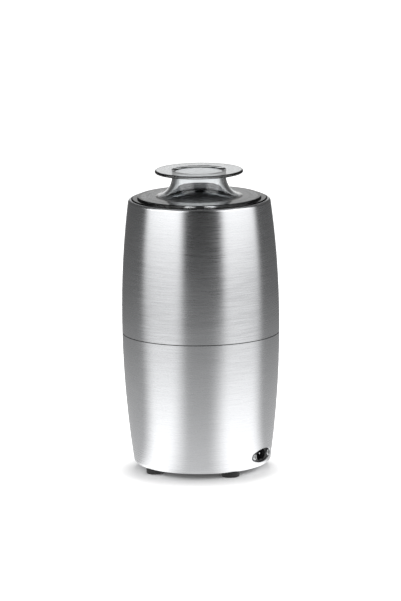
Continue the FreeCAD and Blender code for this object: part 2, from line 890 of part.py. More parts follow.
def lid():
    under_z = flange_z
    top_z = flange_z + flange_t
    disc_z = knob_top_z - knob_t
    dish_z = knob_top_z - dish_depth
    hollow_top = dish_z - dish_floor_t
    rise = disc_z - top_z
    mid_z = top_z + rise * flare_mid_share
    inner_neck = neck_r - lid_wall
    inner_mid = flare_mid_r - lid_wall
    inner_flare = flare_r - lid_wall
    half = knob_edge * (1 - math.sqrt(0.5))
    return revolve((0.0, dish_z), [
        (0.0, hollow_top),
        (inner_neck, hollow_top),
        ((inner_mid, mid_z - lid_wall / 2), (inner_flare, under_z)),
        (skirt_r - skirt_t, under_z),
        (skirt_r - skirt_t, under_z - skirt_h),
        (skirt_r, under_z - skirt_h),
        (skirt_r, under_z),
        (flange_r, under_z),
        (flange_r, top_z - flange_edge),
        (flange_r - flange_edge, top_z),
        (flare_r, top_z),
        ((flare_mid_r, mid_z), (neck_r, disc_z)),
        (knob_r - knob_edge, disc_z),
        ((knob_r - half, disc_z + half), (knob_r, disc_z + knob_edge)),
        (knob_r, knob_top_z - knob_edge),
        ((knob_r - half, knob_top_z - half), (knob_r - knob_edge, knob_top_z)),
        (dish_r, knob_top_z),
        (dish_floor_r, dish_z),
    ])


def grinding_bowl():
    inner = bowl_r - bowl_wall
    corner_in = bowl_corner_r - bowl_wall
    bend = 1 - math.sqrt(0.5)
    corner_z = bowl_floor_z + bowl_corner_r
    return revolve((bush_r, bowl_floor_z), [
        (bowl_r - bowl_corner_r, bowl_floor_z),
        ((bowl_r - bowl_corner_r * bend, bowl_floor_z + bowl_corner_r * bend), (bowl_r, corner_z)),
        (bowl_r, bowl_rim_z - bowl_wall),
        (bowl_rim_r, bowl_rim_z - bowl_wall),
        (bowl_rim_r, bowl_rim_z),
        (inner, bowl_rim_z),
        (inner, corner_z),
        ((inner - corner_in * bend, bowl_inside_z + corner_in * bend), (inner - corner_in, bowl_inside_z)),
        (bush_r, bowl_inside_z),
    ])


def bowl_base():
    web_z = bowl_floor_z - bowl_base_web
    contact_r = bowl_r - bowl_corner_r
    base = revolve((bush_r, web_z), [
        (bowl_base_r - bowl_base_wall, web_z),
        (bowl_base_r - bowl_base_wall, bowl_base_z),
        (bowl_base_r, bowl_base_z),
        (bowl_base_r, bowl_floor_z),
        (contact_r, bowl_floor_z),
        (bush_r, bowl_floor_z),
    ])
    clear = revolve((0.0, bowl_floor_z), [
        (contact_r, bowl_floor_z),
        ((bowl_r - bowl_corner_r * (1 - math.sqrt(0.5)), bowl_floor_z + bowl_corner_r * (1 - math.sqrt(0.5))),
         (bowl_r, bowl_floor_z + bowl_corner_r)),
        (0.0, bowl_floor_z + bowl_corner_r),
    ])
    lug = sector(bowl_base_r, bowl_base_r - bowl_base_wall, bowl_base_z - lug_drop, bowl_base_z + 1.0,
                 lug_span / 2)
    return fuse_all(base, ring_of(lug, lug_count, leg_angle)).cut(clear)


def blade_bush():
    bottom = bush_top - bush_flange_h - bush_length
    bush = cylinder(bush_flange_r, bowl_inside_z, bush_top).fuse(cylinder(bush_r, bottom, bowl_inside_z))
    return bush.removeSplitter().cut(cylinder(blade_shaft_r + shaft_gap, bottom, bush_top))


def bush_nut():
    top = bowl_floor_z - bowl_base_web
    return hexagon(bush_nut_af, top - bush_nut_h, top).cut(cylinder(bush_r, top - bush_nut_h, top))


def shaft_seal():
    return tube(seal_r, blade_shaft_r + shaft_gap, bush_top, bush_top + seal_h)


def blade_shaft():
    top = blade_z + blade_t + washer_t + blade_nut_h * blade_nut_bore_share
    shaft = cylinder(blade_shaft_r, blade_coupling_z, top)
    return fuse_all(shaft, [cylinder(collar_r, collar_z, blade_z)])


def blade():
    """Two wings on a flat middle, one bent up and one bent down, each with a ground edge."""
    middle = block(-blade_root, blade_root, -blade_w / 2, blade_w / 2, blade_z, blade_z + blade_t)
    wings = []
    for side in (-1, 1):
        wing = block(blade_root - blade_t, blade_r, -blade_w / 2, blade_w / 2, blade_z, blade_z + blade_t)
        wing = wing.cut(blade_bevel())
        wing.rotate(V(blade_root, 0, blade_z + blade_t / 2), V(0, -1, 0), side * blade_bend)
        wings.append(turned(wing, 0.0 if side > 0 else 180.0))
    shape = fuse_all(middle, wings)
    return shape.cut(cylinder(blade_shaft_r, blade_z - 1.0, blade_z + 2 * blade_t))


def blade_bevel():
    """The wedge that the grinding wheel takes off a wing's leading edge."""
    edge_y = -blade_w / 2
    points = [
        V(blade_root, edge_y, blade_z + blade_t * 0.2),
        V(blade_root, edge_y, blade_z + blade_t),
        V(blade_root, edge_y + blade_edge, blade_z + blade_t),
        V(blade_root, edge_y, blade_z + blade_t * 0.2),
    ]
    return Part.Face(Part.makePolygon(points)).extrude(V(blade_r, 0, 0))


def blade_washer():
    z = blade_z + blade_t
    return tube(washer_r, blade_shaft_r, z, z + washer_t)


def blade_nut():
    z = blade_z + blade_t + washer_t
    nut = hexagon(blade_nut_af, z, z + blade_nut_h)
    dome = Part.makeSphere(blade_nut_af * 0.62, V(0, 0, z + blade_nut_h - blade_nut_af * 0.3))
    cap = dome.common(cylinder(blade_nut_af / 2, z + blade_nut_h, z + blade_nut_h + blade_nut_af))
    return fuse_all(nut, [cap]).cut(cylinder(blade_shaft_r, z, z + blade_nut_h * blade_nut_bore_share))


def coupling_lug_ring(z0, z1, first):
    lug = sector(coupling_r - coupling_gap, coupling_lug_root_r, z0, z1, coupling_lug_deg / 2)
    return ring_of(lug, coupling_lugs, first)


def blade_coupling():
    plate = cylinder(coupling_r, blade_coupling_z, blade_coupling_top)
    lugs = coupling_lug_ring(blade_coupling_z - coupling_lug_h, blade_coupling_z + 1.0, 180.0 / coupling_lugs)
    bore = cylinder(blade_shaft_r, blade_coupling_z, blade_coupling_top)
    return fuse_all(plate, lugs).cut(bore)


def drive_coupling():
    plate = cylinder(coupling_r, drive_plate_z, drive_plate_top)
    hub = cylinder(hub_r, drive_plate_z - hub_h, drive_plate_z)
    lugs = coupling_lug_ring(drive_plate_top - 1.0, drive_top, 0.0)
    bore = cylinder(shaft_r, drive_plate_z - hub_h, drive_top)
    return fuse_all(plate, [hub] + lugs).cut(bore)


def motor_shaft():
    return cylinder(shaft_r, shaft_bottom_z, drive_plate_top)


def armature_core():
    core = tube(armature_r, shaft_r, stack_bottom_z, stack_top_z)
    slot = block(armature_r - slot_depth, armature_r - slot_cover, -slot_w / 2, slot_w / 2,
                 stack_bottom_z, stack_top_z)
    mouth = block(armature_r - slot_mouth, armature_r + 1.0, -slot_w / 6, slot_w / 6,
                  stack_bottom_z, stack_top_z)
    return cut_all(core, ring_of(slot, slot_count, 0.0) + ring_of(mouth, slot_count, 0.0))


def armature_winding():
    bottom = stack_bottom_z - winding_overhang
    top = stack_top_z + winding_overhang
    slot = block(armature_r - slot_depth, armature_r - slot_mouth, -slot_w / 2, slot_w / 2,
                 stack_bottom_z, stack_top_z)
    ends = []
    for z0, z1, tip in ((bottom, stack_bottom_z, bottom), (stack_top_z, top, top)):
        end = tube(winding_r, shaft_r + 1.0, z0, z1)
        rim = [edge for edge in end.Edges if abs(edge.BoundBox.ZMin - tip) < 1e-6 and edge.Length > 6 * winding_r]
        ends.append(end.makeFillet(winding_overhang * 0.5, rim))
    return fuse_all(ends[0], [ends[1]] + ring_of(slot, slot_count, 0.0))


def commutator():
    top = stack_bottom_z - winding_overhang
    body = tube(commutator_r, shaft_r, top - commutator_h, top)
    slit = block(commutator_r - commutator_slit_depth, commutator_r + 1.0,
                 -commutator_slit / 2, commutator_slit / 2, top - commutator_h, top)
    return cut_all(body, ring_of(slit, commutator_bars, 0.0))


def fan_top():
    return lower_bell_bottom - bearing_w - fan_gap


def cooling_fan():
    top = fan_top()
    plate = tube(fan_r, shaft_r, top - fan_plate, top)
    hub = tube(fan_hub_r, shaft_r, top - fan_h, top)
    vane = block(fan_hub_r - fan_root, fan_r, -fan_blade_t / 2, fan_blade_t / 2, top - fan_h, top - fan_plate / 2)
    vane = vane.common(cylinder(fan_r, top - fan_h, top))
    vane.rotate(V(fan_hub_r, 0, 0), Z_AXIS, fan_blade_lean)
    vane = vane.common(cylinder(fan_r, top - fan_h, top))
    return fuse_all(plate, [hub] + ring_of(vane, fan_blades, 0.0))


def fan_clip():
    z = fan_top() - fan_h
    clip = tube(fan_clip_r, shaft_r, z - fan_clip_t, z)
    return clip.cut(block(0.0, 2 * fan_clip_r, -fan_clip_t, fan_clip_t, z - fan_clip_t, z))


def bearing(z):
    """A sealed ball bearing: outer race, shield and inner race in one turned outline."""
    shaft = shaft_r + shaft_gap
    outer = bearing_r
    step = 0.4
    return revolve((shaft, z), [
        (shaft + bearing_race, z),
        (shaft + bearing_race, z + step),
        (outer - bearing_race, z + step),
        (outer - bearing_race, z),
        (outer, z),
        (outer, z + bearing_w),
        (outer - bearing_race, z + bearing_w),
        (outer - bearing_race, z + bearing_w - step),
        (shaft + bearing_race, z + bearing_w - step),
        (shaft + bearing_race, z + bearing_w),
        (shaft, z + bearing_w),
    ])


def stator_stack():
    inner = stator_r - stator_yoke
    yoke = tube(stator_r, inner, stack_bottom_z, stack_top_z)
    poles = []
    for middle in (0.0, 180.0):
        neck = block(stator_bore_r + pole_shoe_t - part_gap, inner + 1.0, -pole_neck_half_w, pole_neck_half_w,
                     stack_bottom_z, stack_top_z)
        shoe = sector(stator_bore_r + pole_shoe_t, stator_bore_r, stack_bottom_z, stack_top_z, pole_half_deg)
        poles.append(turned(neck.fuse(shoe), middle))
    stack = fuse_all(yoke, poles)
    bolt = cylinder(tie_r + screw_gap, stack_bottom_z, stack_top_z, tie_ring_r)
    return cut_all(stack, ring_of(bolt, 2, tie_angle))


def field_coils():
    """One coil round each pole's neck, with its ends standing out of the stack."""
    inner = stator_bore_r + pole_shoe_t + part_gap
    outer = stator_r - stator_yoke - part_gap
    coils = []
    for middle in (0.0, 180.0):
        ring = sector(outer, inner, stack_bottom_z - coil_overhang, stack_top_z + coil_overhang, coil_half_deg)
        half_w = pole_neck_half_w + part_gap
        neck = block(0.0, stator_r, -half_w, half_w, stack_bottom_z - 0.01, stack_top_z + 0.01)
        coils.append(turned(ring.cut(neck), middle))
    return coils


def bearing_seat(z_open, z_closed):
    """The cup that holds a bearing, open at one end and lipped at the other."""
    low, high = sorted((z_open, z_closed))
    cup = tube(bearing_r + bearing_seat_wall, bearing_r, low, high)
    if z_closed > z_open:
        lip = tube(bearing_r + 0.5, bearing_r - bearing_seat_lip, high - bearing_seat_lip, high)
    else:
        lip = tube(bearing_r + 0.5, bearing_r - bearing_seat_lip, low, low + bearing_seat_lip)
    return cup.fuse(lip).removeSplitter()


def bell(z_stack, z_disc, z_outer, seat):
    """An end bell: a wall on the stack, a disc with cooling windows, and a bearing seat."""
    low, high = sorted((z_stack, z_disc))
    wall = tube(stator_r, stator_r - bell_wall, low, high)
    low, high = sorted((z_disc, z_outer))
    disc = tube(stator_r, bearing_r, low, high)
    shape = fuse_all(wall, [disc, seat])
    window = cylinder(bell_window_r, low, high, bell_window_ring_r)
    tie = cylinder(tie_r + screw_gap, low, high, tie_ring_r)
    return cut_all(shape, ring_of(window, 4, 45.0) + ring_of(tie, 2, tie_angle))


def upper_bearing_z():
    return upper_bell_z


def lower_bearing_z():
    return lower_bell_z - bearing_w


def upper_end_bell():
    seat = bearing_seat(upper_bell_z, upper_bell_z + bearing_w + bearing_seat_lip)
    ear = cylinder(ear_r, upper_bell_z, upper_bell_top, ear_ring_r)
    web = block(stator_r - bell_wall, ear_ring_r, -ear_r, ear_r, upper_bell_z, upper_bell_top)
    hole = cylinder(tie_r + screw_gap, upper_bell_z, upper_bell_top, ear_ring_r)
    shape = bell(stack_top_z, upper_bell_z, upper_bell_top, seat)
    ears = ring_of(ear.fuse(web).cut(cylinder(stator_r - bell_wall, 0.0, upper_bell_top)), ear_count, ear_angle)
    return cut_all(fuse_all(shape, ears), ring_of(hole, ear_count, ear_angle))


def lower_end_bell():
    seat = bearing_seat(lower_bell_z, lower_bell_z - bearing_w - bearing_seat_lip)
    shape = bell(stack_bottom_z, lower_bell_z, lower_bell_bottom, seat)
    gate = rod_along_y(lead_r + part_gap, -belly_r, belly_r, 0.0, brush_z())
    return shape.cut(gate)


def tie_screws():
    length = upper_bell_top - lower_bell_bottom + tie_head_h + 1.0
    one = upside_down(screw(length, tie_r, tie_head_r, tie_head_h))
    return ring_of(placed(one, tie_ring_r, 0.0, lower_bell_bottom), 2, tie_angle)


def tie_nuts():
    nut = placed(hexagon(2 * tie_head_r, upper_bell_top, upper_bell_top + tie_head_h), tie_ring_r, 0.0, 0.0)
    return ring_of(nut.cut(cylinder(tie_r, 0.0, deck_z, tie_ring_r)), 2, tie_angle)


def motor_dampers():
    one = tube(damper_r, tie_r + screw_gap, upper_bell_top, deck_bottom_z, ear_ring_r)
    return ring_of(one, ear_count, ear_angle)


def motor_screws():
    length = deck_z - upper_bell_z + tie_head_h + 1.0
    one = placed(screw(length, tie_r, tie_head_r, tie_head_h), ear_ring_r, 0.0, deck_z)
    return ring_of(one, ear_count, ear_angle)


def motor_nuts():
    nut = placed(hexagon(2 * tie_head_r, upper_bell_z - tie_head_h, upper_bell_z), ear_ring_r, 0.0, 0.0)
    return ring_of(nut.cut(cylinder(tie_r, 0.0, deck_z, ear_ring_r)), ear_count, ear_angle)


def brush_z():
    """The middle height of the brushes, which is the middle of the commutator."""
    return stack_bottom_z - winding_overhang - commutator_h / 2


def brush_holders():
    """A tube for each brush on a foot that stands on the lower end bell."""
    z = brush_z()
    start = commutator_r + holder_gap
    end = start + holder_length
    half_w = brush_w / 2 + part_gap
    half_h = brush_h / 2 + part_gap
    shell = block(start, end, -half_w - holder_wall, half_w + holder_wall, z - half_h - holder_wall,
                  z + half_h + holder_wall)
    foot = block(start + 1.0, end - 1.0, -half_w, half_w, lower_bell_z, z - half_h - holder_wall / 2)
    bore = block(start, end - holder_wall, -half_w, half_w, z - half_h, z + half_h)
    holder = shell.fuse(foot).removeSplitter().cut(bore)
    keep = cylinder(stator_r - bell_wall - part_gap, 0.0, rim_z)
    return ring_of(holder.common(keep), 2, 90.0)


def brushes():
    z = brush_z()
    start = commutator_r + brush_gap
    one = block(start - 1.0, start + brush_length, -brush_w / 2, brush_w / 2, z - brush_h / 2, z + brush_h / 2)
    return ring_of(one.cut(cylinder(start, 0.0, rim_z)), 2, 90.0)


def brush_springs():
    start = commutator_r + brush_gap + brush_length
    holder_end = commutator_r + holder_gap + holder_length - holder_wall
    end = min(holder_end, stator_r - bell_wall - part_gap - holder_wall)
    spring = coil_spring(brush_spring_r, spring_wire_r, end - start, spring_turns)
    spring.rotate(V(0, 0, 0), V(0, 1, 0), 90.0)
    return ring_of(placed(spring, start, 0.0, brush_z()), 2, 90.0)


def circuit_board():
    board = block(board_r - board_t / 2, board_r + board_t / 2, -board_w / 2, board_w / 2,
                  board_bottom_z, board_top_z)
    return turned(board, board_angle)


def filter_capacitor():
    face = board_r - board_t / 2
    case = block(face - capacitor_d, face, -capacitor_w / 2, capacitor_w / 2,
                 capacitor_z, capacitor_z + capacitor_h)
    upright = [edge for edge in case.Edges if edge.BoundBox.ZLength > 1.0 and edge.BoundBox.XMin < face - 1.0]
    return turned(case.makeFillet(1.0, upright), board_angle)


def thermal_cutout():
    face = board_r + board_t / 2
    case = Part.makeCylinder(cutout_r, cutout_l, V(face + cutout_r, -cutout_l / 2, cutout_z), V(0, 1, 0))
    return turned(case, board_angle)


def at(radius, angle, z):
    turn = math.radians(angle)
    return V(radius * math.cos(turn), radius * math.sin(turn), z)


def lead(points):
    """A round insulated wire along straight runs joined by tangent arcs."""
    edges = []
    here = points[0]
    for before, corner, after in zip(points, points[1:], points[2:]):
        back = before - corner
        ahead = after - corner
        back_l = back.Length
        ahead_l = ahead.Length
        back.normalize()
        ahead.normalize()
        trim = lead_bend_share * min(back_l, ahead_l)
        start = corner + back * trim
        end = corner + ahead * trim
        half = back.getAngle(ahead) / 2
        centre_way = back + ahead
        centre_way.normalize()
        middle = corner + centre_way * (trim / math.cos(half) - trim * math.tan(half))
        edges.append(Part.LineSegment(here, start).toShape())
        edges.append(Part.Arc(start, middle, end).toShape())
        here = end
    edges.append(Part.LineSegment(here, points[-1]).toShape())
    path = Part.Wire(edges)
    way = points[1] - points[0]
    section = Part.Wire(Part.makeCircle(lead_r, points[0], way))
    return path.makePipeShell([section], True, False)


def mains_leads():
    """From each inlet pin up the inside of the lower shell to the circuit board."""
    leads = []
    tail_y = socket_back_y - pin_tail
    face = board_r + board_t / 2
    for side, drop in ((-1, 0.0), (1, 6.0)):
        x = side * pin_spacing / 2
        leads.append(lead([
            V(x, tail_y, inlet_z),
            V(x, tail_y - 4.0, inlet_z),
            at(35.0, 98.0 - side * 6.0, 26.0),
            at(37.0, 112.0 - side * 3.0, 42.0 - drop),
            at(40.0, 127.0, 56.0 - drop),
            at(53.5, 139.0, 64.0 - drop),
            at(57.0, 154.0, 72.0 - drop),
            at(57.8, 168.0, 79.0 - drop),
            at_board(face + 6.0, -17.0, 86.0 - drop),
            at_board(face + 4.0, -8.0 + drop, 91.0 - drop),
            at_board(face, -8.0 + drop, 91.0 - drop),
        ]))
    return leads


def motor_leads():
    """From the circuit board round the motor to the back of each brush holder."""
    face = board_r - board_t / 2
    back_r = stator_r - bell_wall - part_gap
    z = brush_z()
    leads = []
    for way in (-1, 1):
        holder = 180.0 + way * 90.0
        leads.append(lead([
            at_board(face, way * 8.0, 81.0),
            at_board(face - 5.0, way * 8.0, 81.0),
            at(38.0, board_angle + way * 24.0, 74.0),
            at(37.4, (board_angle + way * 24.0 + holder) / 2, 62.0),
            at(37.2, holder - way * 12.0, z + 4.0),
            at(38.0, holder, z),
            at(back_r, holder, z),
        ]))
    return leads


def switch_leads():
    """From the circuit board through the deck to the end of the micro switch."""
    face = board_r + board_t / 2
    leads = []
    for side in (-1, 1):
        offset = side * 1.3
        gate = at(lead_gate_r + offset, board_angle + lead_gate_deg, deck_z + 2.0)
        leads.append(lead([
            at_board(face, 6.0 + offset, 107.0),
            at_board(face + 4.0, 6.0 + offset, 107.0),
            V(gate.x, gate.y, deck_bottom_z - 3.0),
            gate,
            switch_point(offset, -switch_back - 3.6, deck_z + switch_h / 2),
            switch_point(offset, -switch_back, deck_z + switch_h / 2),
        ]))
    return leads


def switch_point(x, y, z):
    """A point given in the switch's frame."""
    turn = math.radians(rod_angle)
    return V((leg_ring_r + x) * math.cos(turn) - y * math.sin(turn),
             (leg_ring_r + x) * math.sin(turn) + y * math.cos(turn), z)


def at_board(x, y, z):
    """A point given in the circuit board's frame."""
    point = V(x, y, z)
    turn = math.radians(board_angle)
    return V(point.x * math.cos(turn) - point.y * math.sin(turn),
             point.x * math.sin(turn) + point.y * math.cos(turn), point.z)


NODES = [
    ("upper_shell", upper_shell),
    ("lower_shell", lower_shell),
    ("deck_frame", deck_frame),
    ("base_plate", base_plate),
    ("feet", feet),
    ("foot_screws", foot_screws),
    ("inlet_housing", inlet_housing),
    ("inlet_pins", inlet_pins),
    ("inlet_screws", inlet_screws),
    ("bowl_well", bowl_well),
    ("well_screws", well_screws),
    ("press_ring", press_ring),
    ("leg_clips", leg_clips),
    ("return_springs", return_springs),
    ("push_rod", push_rod),
    ("micro_switch", micro_switch),
    ("switch_screws", switch_screws),
    ("switch_lever", switch_lever),
    ("switch_button", switch_button),
    ("lid", lid),
    ("grinding_bowl", grinding_bowl),
    ("bowl_base", bowl_base),
    ("blade_bush", blade_bush),
    ("bush_nut", bush_nut),
    ("shaft_seal", shaft_seal),
    ("blade_shaft", blade_shaft),
    ("blade", blade),
    ("blade_washer", blade_washer),
    ("blade_nut", blade_nut),
    ("blade_coupling", blade_coupling),
    ("drive_coupling", drive_coupling),
    ("motor_shaft", motor_shaft),
    ("armature_core", armature_core),
    ("armature_winding", armature_winding),
    ("commutator", commutator),
    ("cooling_fan", cooling_fan),
    ("fan_clip", fan_clip),
    ("upper_bearing", lambda: bearing(upper_bearing_z())),
    ("lower_bearing", lambda: bearing(lower_bearing_z())),
    ("stator_stack", stator_stack),
    ("field_coils", field_coils),
    ("upper_end_bell", upper_end_bell),
    ("lower_end_bell", lower_end_bell),
    ("tie_screws", tie_screws),
    ("tie_nuts", tie_nuts),
    ("motor_dampers", motor_dampers),
    ("motor_screws", motor_screws),
    ("motor_nuts", motor_nuts),
    ("brush_holders", brush_holders),
    ("brushes", brushes),
    ("brush_springs", brush_springs),
    ("circuit_board", circuit_board),
    ("filter_capacitor", filter_capacitor),
    ("thermal_cutout", thermal_cutout),
    ("mains_leads", mains_leads),
    ("motor_leads", motor_leads),
    ("switch_leads", switch_leads),
]

for node_name, make in NODES:
    save(node_name, make())
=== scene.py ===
"""The looks of the electric spice grinder: finishes, finer visible pieces, floor, light and camera."""
import json
import math

import bmesh
import bpy
from mathutils import Matrix, Vector


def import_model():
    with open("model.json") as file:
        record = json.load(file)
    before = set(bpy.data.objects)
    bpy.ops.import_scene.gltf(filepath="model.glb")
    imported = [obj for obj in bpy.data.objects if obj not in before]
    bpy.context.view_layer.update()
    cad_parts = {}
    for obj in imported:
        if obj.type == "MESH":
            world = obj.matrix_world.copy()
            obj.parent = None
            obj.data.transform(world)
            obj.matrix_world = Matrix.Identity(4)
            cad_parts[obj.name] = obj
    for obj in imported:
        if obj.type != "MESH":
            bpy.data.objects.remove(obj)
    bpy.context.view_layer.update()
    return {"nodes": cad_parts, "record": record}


MM = 0.001
STAGE_STEPS = 96

# The camera: its turn round the object, its lift and its roll, then its distance and lens
CAMERA_DEG = 29.5
CAMERA_LIFT_DEG = 10.6
CAMERA_ROLL_DEG = -0.7
CAMERA_DISTANCE = 4.5
CAMERA_TARGET = (0.0, 0.0, 0.140)
SENSOR_MM = 36.0
LENS_MM = 326.6

# The studio card lies on the floor round the object and stands up at CARD_REACH. Lengths on it are
# in metres, from the object's axis out along the floor and then up.
CARD_LIFT = 0.0005
CARD_NEAR = 0.03
CARD_REACH = 0.75
CARD_LENGTH = 2.2
CARD_STRENGTH = 2.0
SOFTBOX_GREYS = ((0.03, 1.6), (0.12, 1.6), (0.3, 1.3), (0.45, 0.95), (0.65, 0.5), (0.85, 0.6), (0.95, 1.1),
                 (1.05, 1.8), (2.2, 1.9))
# Each panel on it has its greys at some lengths, and its left and right edges near the object and
# far off, in degrees round from the camera's side.
PANELS = (
    ("back cloth", (-200, -200), (200, 200), ((0.03, 1.0), (1.03, 1.0), (1.13, 0.45), (2.2, 0.4))),
    ("side cloth", (-167, -167), (167, 167),
     ((0.03, 0.7), (0.1, 0.6), (0.35, 0.45), (0.6, 0.3), (0.78, 0.15), (0.95, 0.1), (2.2, 0.07))),
    ("front cloth", (-50, -55), (50, 60),
     ((0.03, 0.78), (0.1, 0.75), (0.2, 0.58), (0.46, 0.45), (0.7, 0.24), (0.82, 0.1), (0.92, 0.03),
      (1.0, 0.012), (2.2, 0.01))),
    ("left softbox", (-77, -89), (-30, -26), SOFTBOX_GREYS),
    ("right softbox", (20, 34), (84, 95), SOFTBOX_GREYS),
)
# How far from an edge its fade reaches in degrees, and the lengths that near and far stand for
EDGE_FADES = (16.0, 7.0)
EDGE_LENGTHS = (0.1, 0.9)
# A dark card that hangs level over the studio card
CEILING_GREY = 0.08
CEILING_STEPS = 64

# The floor is paper with a glow of its own. Between two distances from the object's axis the glow rises from
# one level to another, which paints a shadow round the object's base.
FLOOR_HALF_WIDTH = 8.0
PAPER_GREY = 0.88
PAINTED_SHADOW_RADII = (0.05, 0.09)
PAINTED_SHADOW_GLOW_LEVELS = (0.05, 0.5)

# The lamps: name, turn from the camera's side and lift in degrees, distance, size and power
ROOM_LIGHT = 0.7
LAMP_AIM = (0.0, 0.0, 0.12)
LAMPS = (
    ("overhead softbox", 175.0, 68.0, 1.4, 0.6, 12.0),
    ("side softbox", 70.0, 28.0, 1.7, 0.6, 4.0),
)


def colour(code):
    """Turn an sRGB hex code into the linear colour that a shader takes."""
    parts = [int(code[place:place + 2], 16) / 255 for place in (1, 3, 5)]
    linear = [part / 12.92 if part <= 0.04045 else ((part + 0.055) / 1.055) ** 2.4 for part in parts]
    return (linear[0], linear[1], linear[2], 1.0)


def add(tree, kind, settings=None, inputs=None, stops=()):
    """Add a shader node. An input's value is a number, a colour or another node's output.
    Stops are the places and the greys of a colour ramp."""
    made = tree.nodes.new(kind)
    for name, value in (settings or {}).items():
        setattr(made, name, value)
    for name, value in (inputs or {}).items():
        if isinstance(value, bpy.types.NodeSocket):
            tree.links.new(value, made.inputs[name])
        else:
            made.inputs[name].default_value = value
    if stops:
        points = made.color_ramp.elements
        points.remove(points[1])
        points[0].position = stops[0][0]
        points[0].color = (stops[0][1], stops[0][1], stops[0][1], 1.0)
        for place, grey in stops[1:]:
            points.new(place).color = (grey, grey, grey, 1.0)
    return made


def finish(name, inputs):
    """Start a material with its plain values. The tree and its main shader are returned with it."""
    made = bpy.data.materials.new(name)
    made.use_nodes = True
    tree = made.node_tree
    shader = tree.nodes["Principled BSDF"]
    for key, value in inputs.items():
        shader.inputs[key].default_value = value
    return made, tree, shader


def speckle(tree, size_mm, detail=2.0, stretch=(1.0, 1.0, 1.0)):
    """Noise on the object's own coordinates, whose features are about size_mm wide along each axis."""
    place = add(tree, "ShaderNodeTexCoord")
    scale = tuple(1 / (size_mm * MM * part) for part in stretch)
    spread = add(tree, "ShaderNodeMapping", inputs={"Vector": place.outputs["Object"], "Scale": scale})
    return add(tree, "ShaderNodeTexNoise", inputs={
        "Vector": spread.outputs["Vector"],
        "Scale": 1.0,
        "Detail": detail,
        "Roughness": 0.55,
    })


def vary(tree, source, low, high):
    """Spread a pattern's middle range over two numbers."""
    return add(tree, "ShaderNodeMapRange", inputs={
        "Value": source,
        "From Min": 0.3,
        "From Max": 0.7,
        "To Min": low,
        "To Max": high,
    })


def blend_colours(tree, source, first, second):
    """Mix two colours by a pattern."""
    factor = vary(tree, source, 0.0, 1.0)
    return add(tree, "ShaderNodeMix", {"data_type": "RGBA"}, {
        0: factor.outputs["Result"],
        6: colour(first),
        7: colour(second),
    })


def brushed_shell_steel():
    """Stainless steel sheet, deep drawn and brushed round and round with a 240-grit belt.
    It gives upright bands of light and dark that smear up and down, crossed by fine level streaks."""
    made, tree, shader = finish("brushed stainless steel", {
        "Metallic": 1.0,
        "Roughness": 0.27,
        "Anisotropic": 0.8,
        "Anisotropic Rotation": 0.25,
    })
    # The real scratches are about 0.06 mm apart; they are drawn 0.35 mm apart so that they show.
    streaks = speckle(tree, 0.35, 1.0, (70.0, 70.0, 1.0))
    clouds = speckle(tree, 30.0, 2.0)
    tone = blend_colours(tree, streaks.outputs["Fac"], "#D5D6D8", "#E0E1E3")
    rough = vary(tree, streaks.outputs["Fac"], 0.24, 0.3)
    uneven = vary(tree, clouds.outputs["Fac"], -0.015, 0.015)
    total = add(tree, "ShaderNodeMath", {"operation": "ADD"}, {
        0: rough.outputs["Result"],
        1: uneven.outputs["Result"],
    })
    around = add(tree, "ShaderNodeTangent", {"direction_type": "RADIAL", "axis": "Z"})
    surface = add(tree, "ShaderNodeNewGeometry")
    lean = vary(tree, streaks.outputs["Fac"], -0.005, 0.005)
    aside = add(tree, "ShaderNodeVectorMath", {"operation": "SCALE"}, {
        0: around.outputs["Tangent"],
        "Scale": lean.outputs["Result"],
    })
    leant = add(tree, "ShaderNodeVectorMath", {"operation": "ADD"}, {
        0: surface.outputs["Normal"],
        1: aside.outputs["Vector"],
    })
    square = add(tree, "ShaderNodeVectorMath", {"operation": "NORMALIZE"}, {0: leant.outputs["Vector"]})
    tree.links.new(tone.outputs[2], shader.inputs["Base Color"])
    tree.links.new(total.outputs["Value"], shader.inputs["Roughness"])
    tree.links.new(around.outputs["Tangent"], shader.inputs["Tangent"])
    tree.links.new(square.outputs["Vector"], shader.inputs["Normal"])
    return made


def grained(name, dark, light, grain_mm, depth_mm, rough, metallic=0.0, extra=None):
    """A surface with an even fine grain in its colour, its gloss and its relief."""
    values = {"Metallic": metallic, "Roughness": rough}
    values.update(extra or {})
    made, tree, shader = finish(name, values)
    grain = speckle(tree, grain_mm, 3.0)
    tone = blend_colours(tree, grain.outputs["Fac"], dark, light)
    gloss = vary(tree, grain.outputs["Fac"], rough - 0.06, rough + 0.06)
    relief = add(tree, "ShaderNodeBump", inputs={
        "Height": grain.outputs["Fac"],
        "Distance": depth_mm * MM,
        "Strength": 0.6,
    })
    tree.links.new(tone.outputs[2], shader.inputs["Base Color"])
    tree.links.new(gloss.outputs["Result"], shader.inputs["Roughness"])
    tree.links.new(relief.outputs["Normal"], shader.inputs["Normal"])
    return made


